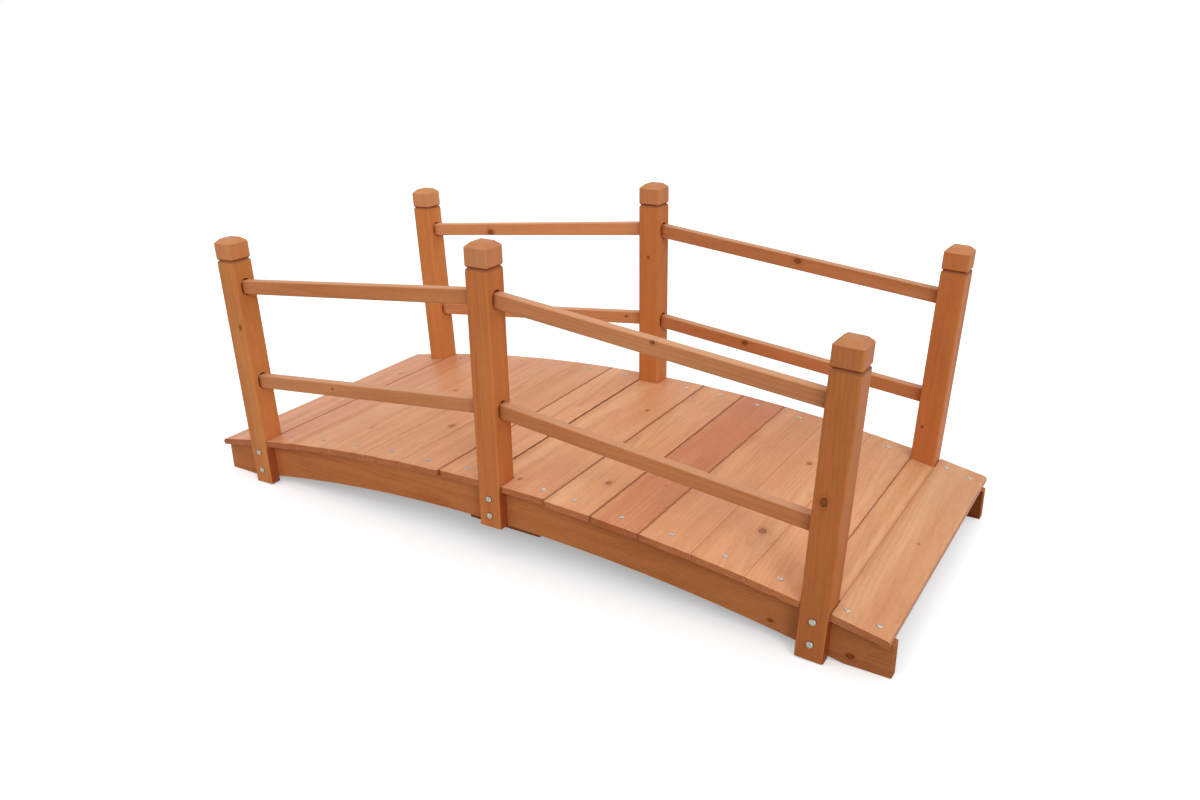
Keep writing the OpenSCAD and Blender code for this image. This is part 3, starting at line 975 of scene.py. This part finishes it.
# Uneven ends of the boards: how many cuts, how far they are worn, and the noise that wears them
END_CUTS = 9
END_WOBBLE = 0.9 * MM
CORNER_WEAR, CORNER_W = 1.3 * MM, 9 * MM
BOARD_END_EASE = 0.9 * MM
WOBBLE_ACROSS, WOBBLE_DEEP, ENDS_APART, BOARDS_APART = 90, 60, 7.3, 3.7
CORNER_SCALE = 9


def board_joint(left, right, half, near_back, seed):
    """Easing, stain with painted shade, and closing of a board's long edges, from its two joints, and its
    uneven ends.
    """

    def joint(across):
        return left if across < 0 else right

    def ease(a, b):
        at_side = min(abs(a.y), abs(b.y)) > half - EDGE_BAND
        if at_side and abs(a.x - b.x) > LONG_EDGE and min(a.z, b.z) > -EDGE_BAND:
            return joint(a.y).ease_mm * MM
        return BOARD_END_EASE

    def stain_and_shade(centre):
        return joint(centre.y).stain_and_shade if abs(centre.y) > half - STAIN_AND_SHADE_BAND else 0.0

    def shift(point):
        if abs(point.y) > half - EDGE_BAND:
            point.y += math.copysign(joint(point.y).close_mm * MM, point.y)
        if abs(point.x) > DECK_W / 2 - SLACK:
            spot = Vector((WOBBLE_ACROSS * point.y, seed + ENDS_APART * point.x, WOBBLE_DEEP * point.z))
            corner = smooth(abs(point.y), half - CORNER_W, half)
            back = END_WOBBLE * abs(noise.noise(spot))
            back += corner * CORNER_WEAR * abs(noise.noise(CORNER_SCALE * spot))
            point.x += near_back + back if point.x < 0 else -back
        return point

    return ease, stain_and_shade, shift


for i, (node, s0, s1) in enumerate(BOARDS):
    at = arch_frame((s0 + s1) / 2)
    turn = at.to_3x3()
    tone, redness, painted_shade_slope = BOARD_TINTS[node]
    left = JOINTS[i - 1] if i else OUTER_EDGE
    right = JOINTS[i] if i < len(JOINTS) else OUTER_EDGE
    half = (s1 - s0) / 2
    ease, stain_and_shade, shift = board_joint(left, right, half, NEAR_BACK.get(node, 0.0) * MM, BOARDS_APART * i)
    wooden(
        node, "deck_wood", axes(turn.col[1], turn.col[0], turn.col[2], at.translation), ease,
        tint=(tone, redness, rng.uniform(4.5, 7.0) * MM),
        pith=heart(across=0.05, deep=0.06, drift=0.07),
        knots=BOARD_KNOTS.get(node, ()), sap=BOARD_SAP.get(node, NO_SAP),
        stain_and_shade=stain_and_shade, shift=shift, end_cuts=0 if OUTER_EDGE in (left, right) else END_CUTS,
        span=(*NO_SPAN[:2], painted_shade_slope), rim=(half, left.rim, right.rim),
    )


# Fasteners
HEAD_SUNK = 0.3 * MM
METAL_SHARP = math.radians(38)
NUT_CHAMFER, NUT_INSET = 0.6 * MM, 0.9


def ring_of(bm, place, radius, height, count):
    """Points of a ring about Z."""
    angles = [2 * math.pi * i / count for i in range(count)]
    points = [Vector((radius * math.cos(a), radius * math.sin(a), height)) for a in angles]
    return [bm.verts.new(place @ point) for point in points]


def lathe(bm, place, profile, turns=32):
    """Turns a profile of (radius, height) points about Z. A point on the axis closes it."""
    rings = []
    for radius, height in profile:
        if radius < WELD:
            rings.append([bm.verts.new(place @ Vector((0, 0, height)))])
        else:
            rings.append(ring_of(bm, place, radius, height, turns))
    for low, high in zip(rings, rings[1:]):
        for i in range(turns):
            j = (i + 1) % turns
            if len(high) == 1:
                bm.faces.new((low[i], low[j], high[0]))
            elif len(low) == 1:
                bm.faces.new((low[0], high[j], high[i]))
            else:
                bm.faces.new((low[i], low[j], high[j], high[i]))


def dome(radius, height, rim, rings=9):
    """Profile of a domed head that stands on Z = 0 and goes a little below it."""
    points = [(0.0, -HEAD_SUNK), (0.6 * radius, -HEAD_SUNK), (radius, -HEAD_SUNK), (radius, rim)]
    for i in range(1, rings):
        a = math.pi / 2 * i / rings
        points.append((radius * math.cos(a), rim + (height - rim) * math.sin(a)))
    return points + [(0.0, height)]


def hexagon(bm, place, across, low, high):
    """Nut with chamfered corners."""
    corner = across / math.sqrt(3)
    inset = NUT_INSET * corner
    profile = ((inset, low), (corner, low + NUT_CHAMFER), (corner, high - NUT_CHAMFER), (inset, high))
    rings = [ring_of(bm, place, radius, z, 6) for radius, z in profile]
    for a, b in zip(rings, rings[1:]):
        for i in range(6):
            bm.faces.new((a[i], a[(i + 1) % 6], b[(i + 1) % 6], b[i]))
    bm.faces.new(list(reversed(rings[0])))
    bm.faces.new(rings[-1])


def outward(point, side, spin=0.0):
    """Frame whose Z leaves the bridge on one side, at a point of the part's frame."""
    face = Matrix.Rotation(-side * math.pi / 2, 4, "X")
    return Matrix.Translation(point) @ face @ Matrix.Rotation(spin, 4, "Z")


def metal_piece(name, bm, material, dirt_and_shade):
    """Smooth metal piece. The last argument gives a point's share of dirt and painted shade."""
    bmesh.ops.recalc_face_normals(bm, faces=bm.faces)
    for face in bm.faces:
        face.smooth = True
    piece = placed(name, bm)
    mesh = piece.data
    mesh.set_sharp_from_angle(angle=METAL_SHARP)
    fill(mesh, "dirt_and_shade", "POINT", [(dirt_and_shade(v.co), 0.0, 0.0) for v in mesh.vertices])
    finish_piece(piece, material)


# Carriage bolts through the half-lapped tails, with a washer and a nut inside
END_BOLTS = (-17.4 * MM, -56.3 * MM)
BOLT_LEVELS = {-1: END_BOLTS, 0: (-30.5 * MM, -62.2 * MM), 1: END_BOLTS}
BOLT_HEAD = dome(5.9 * MM, 3.8 * MM, 0.7 * MM)
BOLT_HOLE, WASHER_R, WASHER_T, WASHER_EASE = 3.3 * MM, 8.0 * MM, 1.5 * MM, 0.3 * MM
WASHER = [
    (BOLT_HOLE, 0),
    (WASHER_R - WASHER_EASE, 0),
    (WASHER_R, WASHER_EASE),
    (WASHER_R, WASHER_T - WASHER_EASE),
    (WASHER_R - WASHER_EASE, WASHER_T),
    (BOLT_HOLE, WASHER_T),
]
NUT_ACROSS, NUT_TOP = 10 * MM, 6.5 * MM
BOLT_R, BOLT_TIP, BOLT_TIP_R = 3.0 * MM, 10.8 * MM, 2.4 * MM
THREAD_LOW, THREAD_DEPTH, THREAD_PITCH, THREAD_EDGES = 6.3 * MM, 0.35 * MM, 1.0 * MM, 9
THREAD = [(BOLT_R, NUT_TOP - 0.5 * MM)]
for i in range(THREAD_EDGES):
    THREAD.append((BOLT_R - i % 2 * THREAD_DEPTH, THREAD_LOW + i * THREAD_PITCH / 2))
THREAD += [(BOLT_TIP_R, BOLT_TIP), (0.0, BOLT_TIP)]
BOLT_RIM_BAND = (2.2 * MM, 0.2 * MM)


def bolt_rim_dirt_and_shade(point):
    """Dirt and painted shade at the rims of the bolt heads, by how far a point stands out of the post's
    face.
    """
    return smooth(abs(point.y) - POST_FACE_Y, *BOLT_RIM_BAND)


for side_name, side in SIDES.items():
    for station, k in STATIONS.items():
        bm = bmesh.new()
        inner = STRINGER_Y - STRINGER_T - (0 if k else SPLICE_T)
        for level in BOLT_LEVELS[k]:
            at = post_frame(k) @ Vector((0, 0, level))
            lathe(bm, outward(Vector((at.x, side * POST_FACE_Y, at.z)), side), BOLT_HEAD, 40)
            nut_frame = outward(Vector((at.x, side * inner, at.z)), -side, rng.uniform(0, 1))
            lathe(bm, nut_frame, WASHER)
            hexagon(bm, nut_frame, NUT_ACROSS, WASHER_T, NUT_TOP)
            lathe(bm, nut_frame, THREAD, 20)
        metal_piece(f"{side_name}_{station}_bolts", bm, "bolt_zinc", bolt_rim_dirt_and_shade)

# Deck screws: one at each end of a board, and two at each end of the end boards
SCREW_R, SCREW_H, SCREW_RIM = 4.3 * MM, 1.7 * MM, 0.25 * MM
CROSS_L, CROSS_W, CROSS_H, CROSS_Z = 4.2 * MM, 1.0 * MM, 2.4 * MM, 1.9 * MM
SCREW_Y = 269 * MM
SCREW_SUNK = 0.1 * MM
SCREW_STRAY, SCREW_TILT = 3 * MM, 0.05
# Stations of the screws on boards that don't have one at their middle
SCREW_STATIONS = {
    "left_end_board": (-675 * MM, -626 * MM),
    "crown_board": (88 * MM,),
    "infill_board": (),
    "right_end_board": (625 * MM, 675 * MM),
}
SCREW_RIM_BAND = (0.9 * MM, 0.3 * MM)
# Share of darkening all over the screws of the left half
LEFT_DARKENING = 0.35


def screw_head():
    """Domed screw head with a cross recess, on Z = 0."""
    bm = bmesh.new()
    lathe(bm, Matrix.Identity(4), dome(SCREW_R, SCREW_H, SCREW_RIM))
    bmesh.ops.recalc_face_normals(bm, faces=bm.faces)
    blank = placed("screw_blank", bm)
    bm = bmesh.new()
    for i in range(2):
        size = Matrix.Diagonal((CROSS_L, CROSS_W, CROSS_H, 1))
        turn = Matrix.Rotation(i * math.pi / 2, 4, "Z")
        bmesh.ops.create_cube(bm, size=1.0, matrix=Matrix.Translation((0, 0, CROSS_Z)) @ turn @ size)
    cross = placed("screw_cross", bm)
    cut = blank.modifiers.new("cut", "BOOLEAN")
    cut.operation = "DIFFERENCE"
    cut.object = cross
    cut.solver = "EXACT"
    cut.use_self = True
    bpy.context.view_layer.update()
    head = bpy.data.meshes.new_from_object(blank.evaluated_get(bpy.context.evaluated_depsgraph_get()))
    for made in (blank, cross):
        bpy.data.objects.remove(made)
    return head


def screw_dirt_and_shade(point):
    """Dirt and painted shade at the rims of the screw heads, by how far a point stands out, and darkening
    all over the left ones.
    """
    rim = smooth(math.hypot(point.x, point.z - ARCH_Z) - ARCH_R, *SCREW_RIM_BAND)
    return max(rim, LEFT_DARKENING if point.x < 0 else 0.0)


head = screw_head()
for side_name, side in SIDES.items():
    bm = bmesh.new()
    for node, s0, s1 in BOARDS:
        middle = (s0 + s1) / 2
        for s in SCREW_STATIONS.get(node, (middle,)):
            along = s - middle + rng.uniform(-SCREW_STRAY, SCREW_STRAY)
            across = side * SCREW_Y + rng.uniform(-SCREW_STRAY, SCREW_STRAY)
            tilt = Matrix.Rotation(rng.uniform(-SCREW_TILT, SCREW_TILT), 4, "X")
            spin = Matrix.Rotation(rng.uniform(0, math.pi), 4, "Z")
            place = arch_frame(middle) @ Matrix.Translation((along, across, -SCREW_SUNK))
            copy = head.copy()
            copy.transform(place @ tilt @ spin)
            bm.from_mesh(copy)
            bpy.data.meshes.remove(copy)
    metal_piece(f"{side_name}_deck_screws", bm, "screw_zinc", screw_dirt_and_shade)
bpy.data.meshes.remove(head)


# Floor and sky: white where they are seen, and plain in the light that they give
FLOOR_REACH = 40.0
FLOOR_BOUNCE = (0.5, 0.5, 0.5, 1)
FLOOR_SEEN = (0.94, 0.95, 0.96, 1)
FLOOR_GLOW, GLOW_STRENGTH = (0.92, 0.985, 1.0, 1), 0.32
SKY_LOW, SKY_HIGH = 0.35, 1.05


def shown_rays(g):
    """1 for rays that show the background itself: from the camera, in gloss or through glass."""
    rays = g.node("ShaderNodeLightPath").outputs
    seen = g.math("MAXIMUM", rays["Is Camera Ray"], rays["Is Glossy Ray"])
    return g.math("MAXIMUM", seen, rays["Is Transmission Ray"])


def floor_material():
    """Paper that keeps the bridge's shadow. Its glow is only seen, and lights nothing."""
    paper = bpy.data.materials.new("floor_white")
    g = Graph(paper)
    bounce = g.give(g.node("ShaderNodeBsdfDiffuse"), Color=FLOOR_BOUNCE)
    matt = g.give(g.node("ShaderNodeBsdfDiffuse"), Color=FLOOR_SEEN)
    glow = g.give(g.node("ShaderNodeEmission"), Color=FLOOR_GLOW, Strength=GLOW_STRENGTH)
    white = g.node("ShaderNodeAddShader")
    g.feed(white, matt.outputs[0], glow.outputs[0])
    seen = g.node("ShaderNodeMixShader")
    g.feed(seen, shown_rays(g), bounce.outputs[0], white.outputs[0])
    g.show(seen)
    return paper


def overcast_sky():
    """Sky that is brighter overhead, and white where it is seen."""
    world = bpy.data.worlds.new("studio")
    g = Graph(world)
    up = g.split(g.node("ShaderNodeTexCoord").outputs["Generated"])[2]
    lit = g.times_plus(g.times(up, up), SKY_HIGH, SKY_LOW)
    seen = shown_rays(g)
    strength = g.times_plus(g.minus(1.0, seen), lit, seen)
    sky = g.give(g.node("ShaderNodeBackground"), Color=(1.0, 1.0, 1.0, 1), Strength=strength)
    g.show(sky, "World")
    return world


floor_mesh = bpy.data.meshes.new("floor")
corners = [(x * FLOOR_REACH, y * FLOOR_REACH, 0) for x, y in ((-1, -1), (1, -1), (1, 1), (-1, 1))]
floor_mesh.from_pydata(corners, [], [(0, 1, 2, 3)])
floor_mesh.materials.append(floor_material())
floor = bpy.data.objects.new("floor", floor_mesh)
scene.collection.objects.link(floor)
scene.world = overcast_sky()


def lamp(name, kind, place, energy, **values):
    """Lamp that looks at the middle of the bridge."""
    data = bpy.data.lights.new(name, kind)
    data.energy = energy
    for key, value in values.items():
        setattr(data, key, value)
    made = bpy.data.objects.new(name, data)
    made.location = place
    made.rotation_euler = (-Vector(place)).to_track_quat("-Z", "Y").to_euler()
    scene.collection.objects.link(made)


lamp("side", "SUN", (2.4, -1.8, 1.5), 0.9, angle=math.radians(24))
# Small and weak, for the glint on the bolt heads
lamp("glint", "AREA", (-1.9, -1.5, 1.4), 2.2, shape="DISK", size=0.4)

# Camera fitted to the photograph: position in metres, angles in radians, focal length in its pixels
CAMERA_AT = Vector((0.9774, -1.5121, 0.9206))
YAW, PITCH, ROLL = 0.5669, -0.3846, -0.0188
FOCAL_PX, CENTRE_PX = 1017.73, (589.19, 399.45)
PHOTO_W, PHOTO_H = 1200, 800
SENSOR = 36.0
FAR_CLIP = 200
forward = Vector((-math.sin(YAW) * math.cos(PITCH), math.cos(YAW) * math.cos(PITCH), math.sin(PITCH)))
right = Vector((math.cos(YAW), math.sin(YAW), 0))
up = right.cross(forward)
right, up = math.cos(ROLL) * right + math.sin(ROLL) * up, math.cos(ROLL) * up - math.sin(ROLL) * right
lens = bpy.data.cameras.new("camera")
lens.sensor_width = SENSOR
lens.lens = FOCAL_PX * SENSOR / PHOTO_W
lens.shift_x = (PHOTO_W / 2 - CENTRE_PX[0]) / PHOTO_W
lens.shift_y = (CENTRE_PX[1] - PHOTO_H / 2) / PHOTO_W
lens.clip_end = FAR_CLIP
camera = bpy.data.objects.new("camera", lens)
looking = Matrix((right, up, -forward)).transposed().to_4x4()
camera.matrix_world = Matrix.Translation(CAMERA_AT) @ looking
scene.collection.objects.link(camera)
scene.camera = camera
